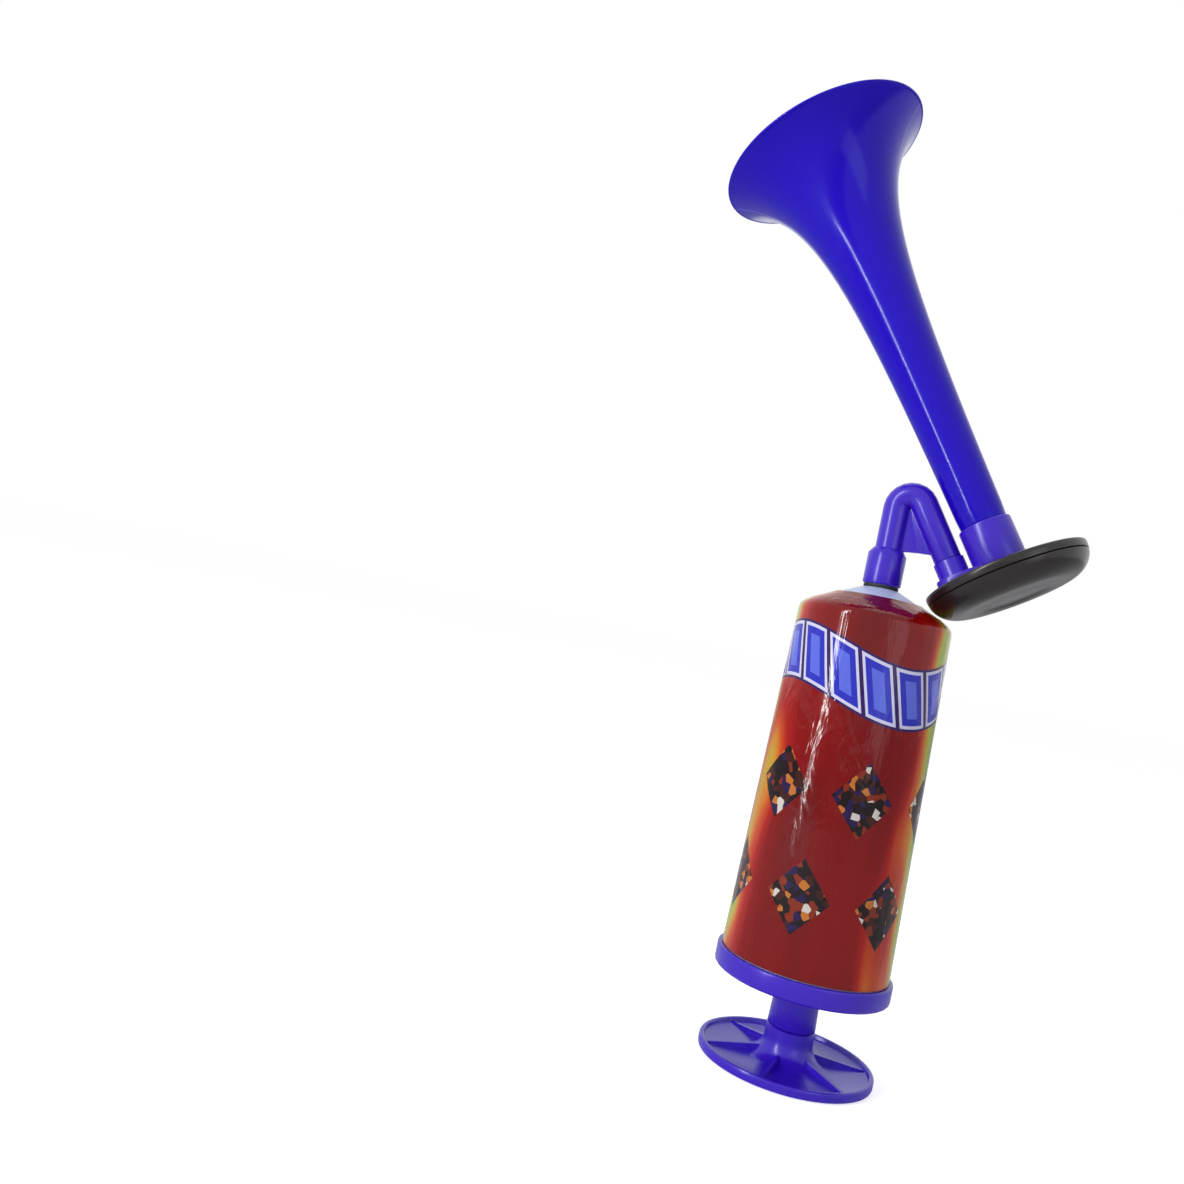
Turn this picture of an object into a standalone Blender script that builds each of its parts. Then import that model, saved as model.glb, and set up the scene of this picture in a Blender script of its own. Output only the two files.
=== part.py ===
"""Hand-pump air horn: a tapered pump barrel, a plunger with a dish handle, an A-shaped air elbow,
a round diaphragm housing and a long flared trumpet. Metres, +Z up along the pump axis,
origin at the centre of the handle's flat foot. The XZ plane is the mirror plane of the horn head."""
import math

import bmesh
import bpy
from mathutils import Matrix, Vector

MM = 0.001

# Clearances
GAP = 0.3 * MM
SLIDE_GAP = 0.35 * MM

# Handle
HANDLE_R = 31.3 * MM
HANDLE_FLOOR = 1.9 * MM
HANDLE_RIM_HEIGHT = 3.4 * MM
HANDLE_RIM_WIDTH = 1.7 * MM
HANDLE_NECK_R = 8.7 * MM
HANDLE_NECK_HEIGHT = 13.0 * MM
HANDLE_FLARE = 7.0 * MM
HANDLE_SOCKET_DEPTH = 9.0 * MM
RIB_COUNT = 6
RIB_THICKNESS = 1.5 * MM

# Rod and piston
ROD_WIDTH = 12.0 * MM
ROD_DEPTH = 7.0 * MM
PISTON_THICKNESS = 9.0 * MM
PISTON_SIDE_GAP = 0.9 * MM
PISTON_TOP_GAP = 1.2 * MM
PISTON_HUB_R = 9.5 * MM
PISTON_HUB_LENGTH = 8.0 * MM
PISTON_ROOF = 3.0 * MM
SEAL_HEIGHT = 3.4 * MM
SEAL_WIDTH = 2.5 * MM

# End cap
CAP_LIP_WALL = 1.8 * MM
CAP_LIP_HEIGHT = 7.1 * MM
CAP_FLOOR = 2.0 * MM
BOSS_LENGTH = 16.7 * MM
BOSS_TOP_R = 8.0 * MM
BOSS_FOOT_R = 8.6 * MM

# Barrel and label
BARREL_FOOT_R = 29.3 * MM
BARREL_HEAD_R = 26.5 * MM
BARREL_LENGTH = 127.5 * MM
BARREL_WALL = 1.5 * MM
SHOULDER_SHAPE = ((25.7, 2.9), (22.6, 5.2), (19.1, 6.8), (15.2, 8.8), (11.3, 10.8), (7.2, 12.7))
SHOULDER_RISE = 13.0 * MM
NECK_R = 6.4 * MM
NIPPLE_R = 4.6 * MM
NIPPLE_LENGTH = 11.0 * MM
OUTLET_R = 2.5 * MM
LABEL_THICKNESS = 0.4 * MM
LABEL_RINGS = 4

# Outlet washer and elbow
WASHER_THICKNESS = 0.8 * MM
WASHER_R = 6.2 * MM
COLLAR_R = 6.8 * MM
COLLAR_HEIGHT = 13.4 * MM
COLLAR_CONE = 2.2 * MM
PIPE_R = 4.8 * MM
PIPE_BORE_R = 2.8 * MM
SPIGOT_R = 4.0 * MM
BEND_R = 5.0 * MM
WEB_THICKNESS = 1.6 * MM
WEB_ARCH = 0.8 * MM

# Horn head, measured along and across the trumpet's axis from the housing's front edge
HEAD_TILT = math.radians(32.6)
HEAD_X = 40.2 * MM
HEAD_Z = 186.3 * MM
INLET_OFFSET = 15.7 * MM
INLET_STUB_R = 5.4 * MM
INLET_STUB_HEIGHT = 10.5 * MM
SOCKET_R = 9.1 * MM
SOCKET_HEIGHT = 17.6 * MM
SEAT_HEIGHT = 3.0 * MM
NOZZLE_R = 6.0 * MM
NOZZLE_BORE_R = 4.6 * MM
SADDLE_REACH = 22.0 * MM
SADDLE_LENGTH = 17.0 * MM
SADDLE_WIDTH = 19.0 * MM
SADDLE_HEIGHT = 4.3 * MM
HOUSING_R = 27.8 * MM
HOUSING_DEPTH = 10.2 * MM
HOUSING_WALL = 1.7 * MM
HOUSING_RIM_WIDTH = 1.6 * MM
FACE_RECESS = 0.8 * MM
FACE_THICKNESS = 1.8 * MM
SKIRT_DEPTH = 3.0 * MM
BACK_ROUNDING = 9.0 * MM
GASKET_THICKNESS = 0.8 * MM
DIAPHRAGM_THICKNESS = 0.3 * MM
CLAMP_WIDTH = 4.4 * MM

# Trumpet: radius = THROAT_R + THROAT_TAPER * distance from the socket + FLARE_RISE * (FLARE_LENGTH / (FLARE_LENGTH + distance to the mouth)) ** 2
TRUMPET_LENGTH = 174.8 * MM
THROAT_R = 6.8 * MM
THROAT_TAPER = 0.004
TRUMPET_SPIGOT_R = 7.2 * MM
FLARE_RISE = 31.0 * MM
FLARE_LENGTH = 42.8 * MM
TRUMPET_WALL = 1.3 * MM
TRUMPET_STATIONS = 14
LIP_BEAD = 0.7 * MM

# Facets round each turned piece
LARGE_SEGMENTS = 40
SMALL_SEGMENTS = 24

# Heights along the pump axis
CAP_Z = HANDLE_NECK_HEIGHT + GAP + BOSS_LENGTH
FOOT_Z = CAP_Z + CAP_FLOOR + GAP
SHOULDER_Z = FOOT_Z + BARREL_LENGTH
NECK_Z = SHOULDER_Z + SHOULDER_RISE
WASHER_Z = NECK_Z + GAP
COLLAR_Z = WASHER_Z + WASHER_THICKNESS + GAP
LEDGE_Z = COLLAR_Z + COLLAR_HEIGHT
PISTON_TOP_Z = SHOULDER_Z - PISTON_TOP_GAP
PISTON_Z = PISTON_TOP_Z - PISTON_THICKNESS
HUB_Z = PISTON_Z - PISTON_HUB_LENGTH
ROD_FOOT_Z = HANDLE_NECK_HEIGHT - HANDLE_SOCKET_DEPTH + GAP
ROD_TOP_Z = PISTON_TOP_Z - PISTON_ROOF - GAP

# Depths inside the housing, along the trumpet's axis
FACE_BACK = -FACE_RECESS - FACE_THICKNESS
GASKET_TOP = FACE_BACK - GAP
DIAPHRAGM_TOP = GASKET_TOP - GASKET_THICKNESS - GAP
CLAMP_TOP = DIAPHRAGM_TOP - DIAPHRAGM_THICKNESS - GAP
SOCKET_BORE_R = TRUMPET_SPIGOT_R + GAP
ROUNDING_R = HOUSING_R - BACK_ROUNDING
ROUNDING_DEPTH = HOUSING_DEPTH - BACK_ROUNDING


def clear_scene():
    for old in list(bpy.data.objects):
        bpy.data.objects.remove(old, do_unlink=True)


def make_material(name, colour, roughness, metallic=0.0):
    material = bpy.data.materials.new(name)
    material.use_nodes = True
    shader = material.node_tree.nodes["Principled BSDF"]
    shader.inputs["Base Color"].default_value = (*colour, 1.0)
    shader.inputs["Roughness"].default_value = roughness
    shader.inputs["Metallic"].default_value = metallic
    material.diffuse_color = (*colour, 1.0)
    return material


def add_object(name, bm, material, parent=None):
    """Turn a bmesh into a named object with outward normals and smooth round sides."""
    bmesh.ops.remove_doubles(bm, verts=bm.verts, dist=1e-7)
    bmesh.ops.recalc_face_normals(bm, faces=bm.faces)
    mesh = bpy.data.meshes.new(name)
    bm.to_mesh(mesh)
    bm.free()
    mesh.shade_smooth()
    mesh.set_sharp_from_angle(angle=math.radians(35))
    if material:
        mesh.materials.append(material)
    item = bpy.data.objects.new(name, mesh)
    bpy.context.scene.collection.objects.link(item)
    item.parent = parent
    return item


def turned(profile, segments, centre=(0.0, 0.0)):
    """Spin a closed outline of (radius, height) pairs about the vertical axis through centre."""
    bm = bmesh.new()
    verts = [bm.verts.new((radius, 0.0, height)) for radius, height in profile]
    edges = [bm.edges.new((verts[i], verts[(i + 1) % len(verts)])) for i in range(len(verts))]
    on_axis = [e for e in edges if max(e.verts[0].co.x, e.verts[1].co.x) < 1e-9]
    for edge in on_axis:
        bm.edges.remove(edge)
        edges.remove(edge)
    bmesh.ops.spin(bm, geom=verts + edges, cent=(0, 0, 0), axis=(0, 0, 1),
                   angle=2 * math.pi, steps=segments, use_merge=True)
    bmesh.ops.remove_doubles(bm, verts=bm.verts, dist=1e-7)
    bmesh.ops.translate(bm, verts=bm.verts, vec=(centre[0], centre[1], 0.0))
    return bm


def rod_shape(radius, low, high, segments, centre=(0.0, 0.0)):
    return turned([(0.0, low), (radius, low), (radius, high), (0.0, high)], segments, centre)


def block(size, centre):
    bm = bmesh.new()
    bmesh.ops.create_cube(bm, size=1.0, matrix=Matrix.Translation(centre) @ Matrix.Diagonal((*size, 1.0)))
    return bm


def slab(outline, thickness):
    """Extrude an outline in the XZ plane, centred on y = 0."""
    bm = bmesh.new()
    face = bm.faces.new([bm.verts.new((x, -thickness / 2, z)) for x, z in outline])
    grown = bmesh.ops.extrude_face_region(bm, geom=[face])
    top = [v for v in grown["geom"] if isinstance(v, bmesh.types.BMVert)]
    bmesh.ops.translate(bm, verts=top, vec=(0.0, thickness, 0.0))
    return bm


def swept(path, radius, sides):
    """A capped round tube along a path that stays in the XZ plane."""
    bm = bmesh.new()
    rings = []
    for i, point in enumerate(path):
        ahead = path[min(i + 1, len(path) - 1)] - path[max(i - 1, 0)]
        across = ahead.normalized().cross(Vector((0, 1, 0)))
        ring = []
        for k in range(sides):
            turn = 2 * math.pi * k / sides
            offset = across * math.cos(turn) + Vector((0, 1, 0)) * math.sin(turn)
            ring.append(bm.verts.new(point + offset * radius))
        rings.append(ring)
    for low, high in zip(rings, rings[1:]):
        for k in range(sides):
            bm.faces.new((low[k], low[(k + 1) % sides], high[(k + 1) % sides], high[k]))
    bm.faces.new(rings[0])
    bm.faces.new(rings[-1])
    return bm


def combine(target, bm, operation, parent=None):
    """Join or cut the target with another closed shape, kept as a wire guide."""
    guide = add_object(f"{target.name}.{operation.lower()}", bm, None, parent)
    guide.hide_render = True
    guide.display_type = "WIRE"
    change = target.modifiers.new(operation.title(), "BOOLEAN")
    change.operation = operation
    change.object = guide
    return guide


def barrel_radius(height):
    """Outer radius of the tapered barrel at a height along the pump axis."""
    share = (height - FOOT_Z) / BARREL_LENGTH
    return BARREL_FOOT_R + (BARREL_HEAD_R - BARREL_FOOT_R) * share


def shoulder_outline(lift=0.0):
    """Points up the domed shoulder, from the barrel's edge to the neck, moved outwards by lift."""
    points = [(BARREL_HEAD_R + lift, SHOULDER_Z)]
    points += [(radius * MM + 0.5 * lift, SHOULDER_Z + rise * MM + 0.9 * lift) for radius, rise in SHOULDER_SHAPE]
    return points + [(NECK_R, NECK_Z + lift)]


def trumpet_radius(station):
    """Outer radius of the trumpet at a distance from the housing along its axis."""
    flare = FLARE_RISE * (FLARE_LENGTH / (FLARE_LENGTH + TRUMPET_LENGTH - station)) ** 2
    return THROAT_R + THROAT_TAPER * (station - SOCKET_HEIGHT) + flare


def head_point(across, along):
    """A point of the head's mirror plane, in world coordinates."""
    x = HEAD_X + across * math.cos(HEAD_TILT) - along * math.sin(HEAD_TILT)
    z = HEAD_Z + across * math.sin(HEAD_TILT) + along * math.cos(HEAD_TILT)
    return Vector((x, 0.0, z))


def make_handle(plastic):
    neck = HANDLE_NECK_R
    flare = [(neck + HANDLE_FLARE * (1 - math.cos(a)), HANDLE_FLOOR + HANDLE_FLARE * (1 - math.sin(a)))
             for a in (math.radians(10 * k) for k in (9, 7, 5, 3, 1.5))]
    inner = HANDLE_R - HANDLE_RIM_WIDTH
    edge = 0.6 * MM
    outline = [(0.0, 0.0), (HANDLE_R - edge, 0.0), (HANDLE_R, edge), (HANDLE_R, HANDLE_RIM_HEIGHT - edge),
               (HANDLE_R - edge, HANDLE_RIM_HEIGHT), (inner, HANDLE_RIM_HEIGHT), (inner - edge, HANDLE_FLOOR)]
    outline += flare
    outline += [(neck, HANDLE_NECK_HEIGHT), (0.0, HANDLE_NECK_HEIGHT)]
    handle = add_object("handle", turned(outline, LARGE_SEGMENTS), plastic)
    ribs = bmesh.new()
    for k in range(RIB_COUNT):
        root, tip = neck - RIB_THICKNESS, inner
        rib = slab([(root, HANDLE_FLOOR / 2), (tip, HANDLE_FLOOR / 2), (tip, HANDLE_FLOOR + 0.5 * MM),
                    (neck + HANDLE_FLARE, HANDLE_FLOOR + 2.2 * MM), (root, HANDLE_NECK_HEIGHT - 3 * MM)], RIB_THICKNESS)
        turn = Matrix.Rotation(2 * math.pi * (k + 0.5) / RIB_COUNT, 4, "Z")
        bmesh.ops.transform(rib, matrix=turn, verts=rib.verts)
        piece = bpy.data.meshes.new("rib")
        rib.to_mesh(piece)
        rib.free()
        ribs.from_mesh(piece)
    combine(handle, ribs, "UNION")
    pocket = block((ROD_WIDTH + 2 * GAP, ROD_DEPTH + 2 * GAP, 2 * HANDLE_SOCKET_DEPTH),
                   (0.0, 0.0, HANDLE_NECK_HEIGHT))
    combine(handle, pocket, "DIFFERENCE")
    return handle


def make_rod(plastic):
    length = ROD_TOP_Z - ROD_FOOT_Z
    bm = block((ROD_WIDTH, ROD_DEPTH, length), (0.0, 0.0, ROD_FOOT_Z + length / 2))
    return add_object("piston_rod", bm, plastic)


def make_piston(plastic, rubber):
    bore = barrel_radius(SHOULDER_Z) - BARREL_WALL
    rim = bore - PISTON_SIDE_GAP
    seal_out = bore - SLIDE_GAP
    groove = seal_out - SEAL_WIDTH - GAP
    middle = PISTON_Z + PISTON_THICKNESS / 2
    half = SEAL_HEIGHT / 2 + GAP
    outline = [(0.0, HUB_Z), (PISTON_HUB_R, HUB_Z), (PISTON_HUB_R, PISTON_Z), (rim, PISTON_Z),
               (rim, middle - half), (groove, middle - half), (groove, middle + half), (rim, middle + half),
               (rim, PISTON_TOP_Z), (0.0, PISTON_TOP_Z)]
    head = add_object("piston_head", turned(outline, LARGE_SEGMENTS), plastic)
    depth = ROD_TOP_Z + GAP - HUB_Z
    pocket = block((ROD_WIDTH + 2 * GAP, ROD_DEPTH + 2 * GAP, 2 * depth), (0.0, 0.0, HUB_Z))
    combine(head, pocket, "DIFFERENCE")
    half = SEAL_HEIGHT / 2
    waist = seal_out - 0.5 * MM
    ring = [(groove + GAP, middle - half), (seal_out, middle - half), (waist, middle), (seal_out, middle + half),
            (groove + GAP, middle + half)]
    add_object("piston_seal", turned(ring, LARGE_SEGMENTS), rubber)


def make_end_cap(plastic):
    inner = BARREL_FOOT_R + GAP
    outer = inner + CAP_LIP_WALL
    edge = 0.4 * MM
    foot = CAP_Z - BOSS_LENGTH
    outline = [(0.0, foot), (BOSS_FOOT_R, foot), (BOSS_TOP_R, CAP_Z - 1.2 * MM), (BOSS_TOP_R + 1.2 * MM, CAP_Z),
               (outer - 2 * edge, CAP_Z), (outer, CAP_Z + 2 * edge), (outer, CAP_Z + CAP_LIP_HEIGHT - edge),
               (outer - edge, CAP_Z + CAP_LIP_HEIGHT), (inner, CAP_Z + CAP_LIP_HEIGHT),
               (inner, CAP_Z + CAP_FLOOR), (0.0, CAP_Z + CAP_FLOOR)]
    cap = add_object("end_cap", turned(outline, LARGE_SEGMENTS), plastic)
    height = BOSS_LENGTH + CAP_FLOOR
    slot = block((ROD_WIDTH + 2 * SLIDE_GAP, ROD_DEPTH + 2 * SLIDE_GAP, 2 * height), (0.0, 0.0, CAP_Z))
    combine(cap, slot, "DIFFERENCE")


def make_barrel(plastic):
    outline = [(BARREL_FOOT_R, FOOT_Z)] + shoulder_outline()
    outline += [(NIPPLE_R, NECK_Z), (NIPPLE_R, NECK_Z + NIPPLE_LENGTH), (OUTLET_R, NECK_Z + NIPPLE_LENGTH)]
    outline += [(OUTLET_R, NECK_Z - BARREL_WALL)] + shoulder_outline(-BARREL_WALL)[-2::-1]
    outline += [(BARREL_FOOT_R - BARREL_WALL, FOOT_Z)]
    add_object("pump_barrel", turned(outline, LARGE_SEGMENTS), plastic)


def make_label(film):
    low = CAP_Z + CAP_LIP_HEIGHT + GAP
    inner = [(barrel_radius(low) + GAP, low)] + shoulder_outline(GAP)[:LABEL_RINGS + 1]
    outer = [(barrel_radius(low) + GAP + LABEL_THICKNESS, low)]
    outer += shoulder_outline(GAP + LABEL_THICKNESS)[:LABEL_RINGS + 1]
    add_object("barrel_label", turned(inner + outer[::-1], LARGE_SEGMENTS), film)


def make_washer(rubber):
    inner, top = NIPPLE_R + GAP, WASHER_Z + WASHER_THICKNESS
    outline = [(inner, WASHER_Z), (WASHER_R, WASHER_Z), (WASHER_R, top), (inner, top)]
    add_object("outlet_washer", turned(outline, SMALL_SEGMENTS), rubber)


def elbow_bend():
    """The elbow's apex, its two tangent points and the centre of its bend."""
    start = head_point(-INLET_OFFSET, 0.0)
    up = (head_point(-INLET_OFFSET, 1.0) - start)
    apex = start + up * (-start.x / up.x)
    reach = BEND_R / math.tan(HEAD_TILT / 2)
    left = apex - Vector((0, 0, reach))
    right = apex - up * reach
    centre = left + Vector((BEND_R, 0, 0))
    return left, right, centre


def elbow_path(low, along):
    """Centre line of the air passage: up the pump axis, round the bend and down to the inlet stub."""
    left, right, centre = elbow_bend()
    steps = 9
    sweep = math.pi - HEAD_TILT
    path = [Vector((0, 0, low))]
    for k in range(steps + 1):
        turn = math.pi - sweep * k / steps
        path.append(centre + Vector((math.cos(turn), 0, math.sin(turn))) * BEND_R)
    path[-1] = right
    path.append(head_point(-INLET_OFFSET, along))
    return path


def make_elbow(plastic, axis):
    tail, step = SEAT_HEIGHT + GAP, INLET_STUB_HEIGHT + GAP
    elbow = add_object("air_elbow", swept(elbow_path(LEDGE_Z - 1 * MM, step), PIPE_R, SMALL_SEGMENTS), plastic)
    spigot = rod_shape(SPIGOT_R, tail, step + 1 * MM, SMALL_SEGMENTS, (-INLET_OFFSET, 0.0))
    combine(elbow, spigot, "UNION", axis)
    edge = 0.5 * MM
    collar = [(0.0, COLLAR_Z), (COLLAR_R - edge, COLLAR_Z), (COLLAR_R, COLLAR_Z + edge), (COLLAR_R, LEDGE_Z - COLLAR_CONE),
              (PIPE_R + 0.4 * MM, LEDGE_Z), (0.0, LEDGE_Z + 1 * MM)]
    combine(elbow, turned(collar, SMALL_SEGMENTS), "UNION")
    left, right, centre = elbow_bend()
    low = [Vector((0, 0, LEDGE_Z - 1 * MM)), head_point(-INLET_OFFSET, step + 0.5 * MM)]
    arch = []
    for k in range(1, 6):
        share = k / 6
        point = low[0].lerp(low[1], share)
        point.z += WEB_ARCH * math.sin(math.pi * share)
        arch.append(point)
    web = [low[0]] + arch + [low[1], right, centre, left]
    combine(elbow, slab([(p.x, p.z) for p in web], WEB_THICKNESS), "UNION")
    passage = swept(elbow_path(COLLAR_Z + NIPPLE_LENGTH, tail - 2 * MM), PIPE_BORE_R, SMALL_SEGMENTS)
    combine(elbow, passage, "DIFFERENCE")
    thread_top = NECK_Z + NIPPLE_LENGTH + 1 * MM
    bore = rod_shape(NIPPLE_R + GAP, COLLAR_Z - 1 * MM, thread_top, SMALL_SEGMENTS)
    combine(elbow, bore, "DIFFERENCE")


def make_horn_base(plastic, axis):
    low, nozzle_tip = -FACE_RECESS + GAP, DIAPHRAGM_TOP + GAP
    edge = 0.3 * MM
    outline = [(0.0, nozzle_tip), (NOZZLE_R, nozzle_tip), (NOZZLE_R, low), (SOCKET_R, low),
               (SOCKET_R, SOCKET_HEIGHT - edge), (SOCKET_R - edge, SOCKET_HEIGHT), (0.0, SOCKET_HEIGHT)]
    base = add_object("horn_base", turned(outline, LARGE_SEGMENTS), plastic, axis)
    stub = rod_shape(INLET_STUB_R, low, INLET_STUB_HEIGHT, SMALL_SEGMENTS, (-INLET_OFFSET, 0.0))
    combine(base, stub, "UNION", axis)
    middle = SADDLE_LENGTH / 2 - SADDLE_REACH
    saddle = block((SADDLE_LENGTH, SADDLE_WIDTH, SADDLE_HEIGHT), (middle, 0.0, low + SADDLE_HEIGHT / 2))
    corners = [e for e in saddle.edges if abs(e.verts[0].co.z - e.verts[1].co.z) > SADDLE_HEIGHT / 2]
    bmesh.ops.bevel(saddle, geom=corners, offset=SADDLE_LENGTH * 0.3, segments=3, affect="EDGES", profile=0.5)
    combine(base, saddle, "UNION", axis)
    throat = [(0.0, nozzle_tip - 1 * MM), (NOZZLE_BORE_R, nozzle_tip - 1 * MM), (NOZZLE_BORE_R, SEAT_HEIGHT),
              (SOCKET_BORE_R, SEAT_HEIGHT), (SOCKET_BORE_R, SOCKET_HEIGHT + 1 * MM), (0.0, SOCKET_HEIGHT + 1 * MM)]
    combine(base, turned(throat, LARGE_SEGMENTS), "DIFFERENCE", axis)
    top = INLET_STUB_HEIGHT + 1 * MM
    inlet = [(0.0, low - 1 * MM), (PIPE_BORE_R, low - 1 * MM), (PIPE_BORE_R, SEAT_HEIGHT),
             (SPIGOT_R + GAP, SEAT_HEIGHT), (SPIGOT_R + GAP, top), (0.0, top)]
    combine(base, turned(inlet, SMALL_SEGMENTS, (-INLET_OFFSET, 0.0)), "DIFFERENCE", axis)


def rounding_point(depth):
    """A point of the housing's rounded back edge at a depth below the front edge."""
    drop = max(depth - ROUNDING_DEPTH, 0.0)
    return ROUNDING_R + math.sqrt(max(BACK_ROUNDING ** 2 - drop ** 2, 0.0)), -depth


def make_housing(plastic, axis):
    hole = NOZZLE_R + GAP
    edge = 0.4 * MM
    lip = HOUSING_R - HOUSING_RIM_WIDTH
    inner = HOUSING_R - HOUSING_WALL
    front = [(hole, FACE_BACK), (hole, -FACE_RECESS), (lip - edge, -FACE_RECESS), (lip, 0.0),
             (HOUSING_R - edge, 0.0), (HOUSING_R, -edge), rounding_point(ROUNDING_DEPTH),
             rounding_point(SKIRT_DEPTH), (inner, -SKIRT_DEPTH), (inner, FACE_BACK)]
    shell = add_object("housing_front", turned(front, LARGE_SEGMENTS), plastic, axis)
    inlet = rod_shape(PIPE_BORE_R, FACE_BACK - 1 * MM, 1 * MM, SMALL_SEGMENTS, (-INLET_OFFSET, 0.0))
    combine(shell, inlet, "DIFFERENCE", axis)
    start, cavity = SKIRT_DEPTH + GAP, HOUSING_DEPTH - HOUSING_WALL
    drop = HOUSING_DEPTH - start
    rounding = [rounding_point(start + drop * math.sin(math.radians(15 * k))) for k in range(7)]
    ledge = inner - CLAMP_WIDTH
    rear = [(ledge, CLAMP_TOP), (inner, CLAMP_TOP), (inner, -start)] + rounding
    rear += [(0.0, -HOUSING_DEPTH), (0.0, -cavity), (ledge - 1 * MM, -cavity)]
    add_object("housing_rear", turned(rear, LARGE_SEGMENTS), plastic, axis)


def make_diaphragm(film, rubber, axis):
    outer = HOUSING_R - HOUSING_WALL - GAP
    low = GASKET_TOP - GASKET_THICKNESS
    ring = [(outer - CLAMP_WIDTH, low), (outer, low), (outer, GASKET_TOP), (outer - CLAMP_WIDTH, GASKET_TOP)]
    add_object("diaphragm_gasket", turned(ring, LARGE_SEGMENTS), rubber, axis)
    sheet = rod_shape(outer, DIAPHRAGM_TOP - DIAPHRAGM_THICKNESS, DIAPHRAGM_TOP, LARGE_SEGMENTS)
    add_object("diaphragm", sheet, film, axis)


def make_trumpet(plastic, axis):
    start = SOCKET_HEIGHT + GAP
    outside = [(TRUMPET_SPIGOT_R, SEAT_HEIGHT + GAP), (TRUMPET_SPIGOT_R, start)]
    for k in range(TRUMPET_STATIONS):
        share = 1 - (1 - k / (TRUMPET_STATIONS - 1)) ** 2.4
        station = start + (TRUMPET_LENGTH - start) * share
        outside.append((trumpet_radius(station), station))
    inside = [(TRUMPET_SPIGOT_R - TRUMPET_WALL, SEAT_HEIGHT + GAP), (TRUMPET_SPIGOT_R - TRUMPET_WALL, start)]
    inside += [(radius - TRUMPET_WALL, station) for radius, station in outside[3:]]
    mouth, end = outside[-1]
    bead = [(mouth + LIP_BEAD, end + 0.2 * LIP_BEAD), (mouth + LIP_BEAD, end + 1.2 * LIP_BEAD),
            (mouth - 0.3 * LIP_BEAD, end + 1.6 * LIP_BEAD)]
    outline = outside + bead + inside[::-1]
    add_object("trumpet", turned(outline, LARGE_SEGMENTS), plastic, axis)


def main():
    clear_scene()
    blue = make_material("blue_plastic", (0.045, 0.008, 0.56), 0.28)
    black = make_material("black_plastic", (0.010, 0.007, 0.008), 0.22)
    white = make_material("white_plastic", (0.72, 0.76, 0.86), 0.38)
    film = make_material("printed_film", (0.46, 0.03, 0.02), 0.18)
    rubber = make_material("soft_rubber", (0.03, 0.03, 0.03), 0.7)
    clear = make_material("diaphragm_film", (0.75, 0.74, 0.70), 0.3)
    axis = bpy.data.objects.new("head_axis", None)
    bpy.context.scene.collection.objects.link(axis)
    axis.location = (HEAD_X, 0.0, HEAD_Z)
    axis.rotation_euler = (0.0, -HEAD_TILT, 0.0)
    make_handle(blue)
    make_rod(blue)
    make_piston(white, rubber)
    make_end_cap(blue)
    make_barrel(white)
    make_label(film)
    make_washer(rubber)
    make_elbow(blue, axis)
    make_horn_base(blue, axis)
    make_housing(black, axis)
    make_diaphragm(clear, rubber, axis)
    make_trumpet(blue, axis)
    bpy.context.view_layer.update()


main()
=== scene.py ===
"""Looks of the hand-pump air horn: gloss mouldings, a shrink-wrapped printed label, a smooth
flared trumpet with a rounded lip, and a pale studio."""
import math

import bpy
from mathutils import Matrix, Vector


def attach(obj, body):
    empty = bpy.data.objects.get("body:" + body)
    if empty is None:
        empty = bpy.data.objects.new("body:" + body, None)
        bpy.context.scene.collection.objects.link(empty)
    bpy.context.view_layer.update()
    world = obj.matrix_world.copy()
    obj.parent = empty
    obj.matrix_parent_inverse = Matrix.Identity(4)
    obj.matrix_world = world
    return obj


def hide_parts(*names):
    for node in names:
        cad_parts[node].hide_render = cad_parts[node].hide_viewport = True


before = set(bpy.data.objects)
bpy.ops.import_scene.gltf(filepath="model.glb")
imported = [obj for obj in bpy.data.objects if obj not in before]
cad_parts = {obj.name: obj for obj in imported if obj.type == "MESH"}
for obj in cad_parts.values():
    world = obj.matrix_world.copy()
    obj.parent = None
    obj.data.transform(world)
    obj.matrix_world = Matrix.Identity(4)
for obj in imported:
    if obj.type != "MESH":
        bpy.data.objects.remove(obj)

bl_info = {
    "name": "Hand-pump air horn looks",
    "version": (1, 0, 0),
    "blender": (4, 5, 0),
    "location": "View3D > Sidebar > Air horn",
    "description": "Finishes the packed air horn and sets up its studio",
    "category": "Object",
}

# Measures are in millimetres unless a comment says otherwise, and an outline is (radius, height) pairs
MM = 0.001

# Edges sharper than these angles in degrees stay crisp
TURNED_CREASE = 40
MOULDED_CREASE = 38
HANDLE_CREASE = 30

# Points closer than these are merged: on turned pieces, and on copies of the solids
TURNED_MERGE = 0.001
COPY_MERGE = 0.002

# Blue mouldings with softened edges: node, body and width of the bevel, then the angles in degrees
# under which faces join and over which edges are bevelled
SOFTENED = (("end_cap", "pump", 0.3), ("air_elbow", "head", 0.2), ("horn_base", "head", 0.25))
FLAT_JOIN = 0.4
BEVELLED_EDGE = 40

# Dish handle: foot and rim, then the neck above its fillet
DISH_FLOOR = 1.9
HANDLE_RIM = ((6.0, 0.0), (30.6, 0.0), (31.1, 0.2), (31.3, 0.7), (31.3, 2.7), (31.1, 3.2), (30.7, 3.4),
              (30.1, 3.4), (29.7, 3.2), (29.5, 2.7), (29.3, 2.1), (28.8, DISH_FLOOR))
NECK_RADIUS = 8.7
NECK_FILLET = 7.0
HANDLE_NECK = ((NECK_RADIUS, 9.6), (NECK_RADIUS, 12.7), (8.4, 13.0), (8.0, 13.0))

# Low ribs from the handle's neck to its rim: length, width and height, and the slope of their tops
RIB_COUNT = 6
RIB_MIDDLE = 18.4
RIB_LEVEL = 2.0
RIB_SIZE = (22.0, 1.1, 2.0)
RIB_TOP_AT_NECK = 5.2
RIB_TOP_AT_RIM = 2.25

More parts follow.
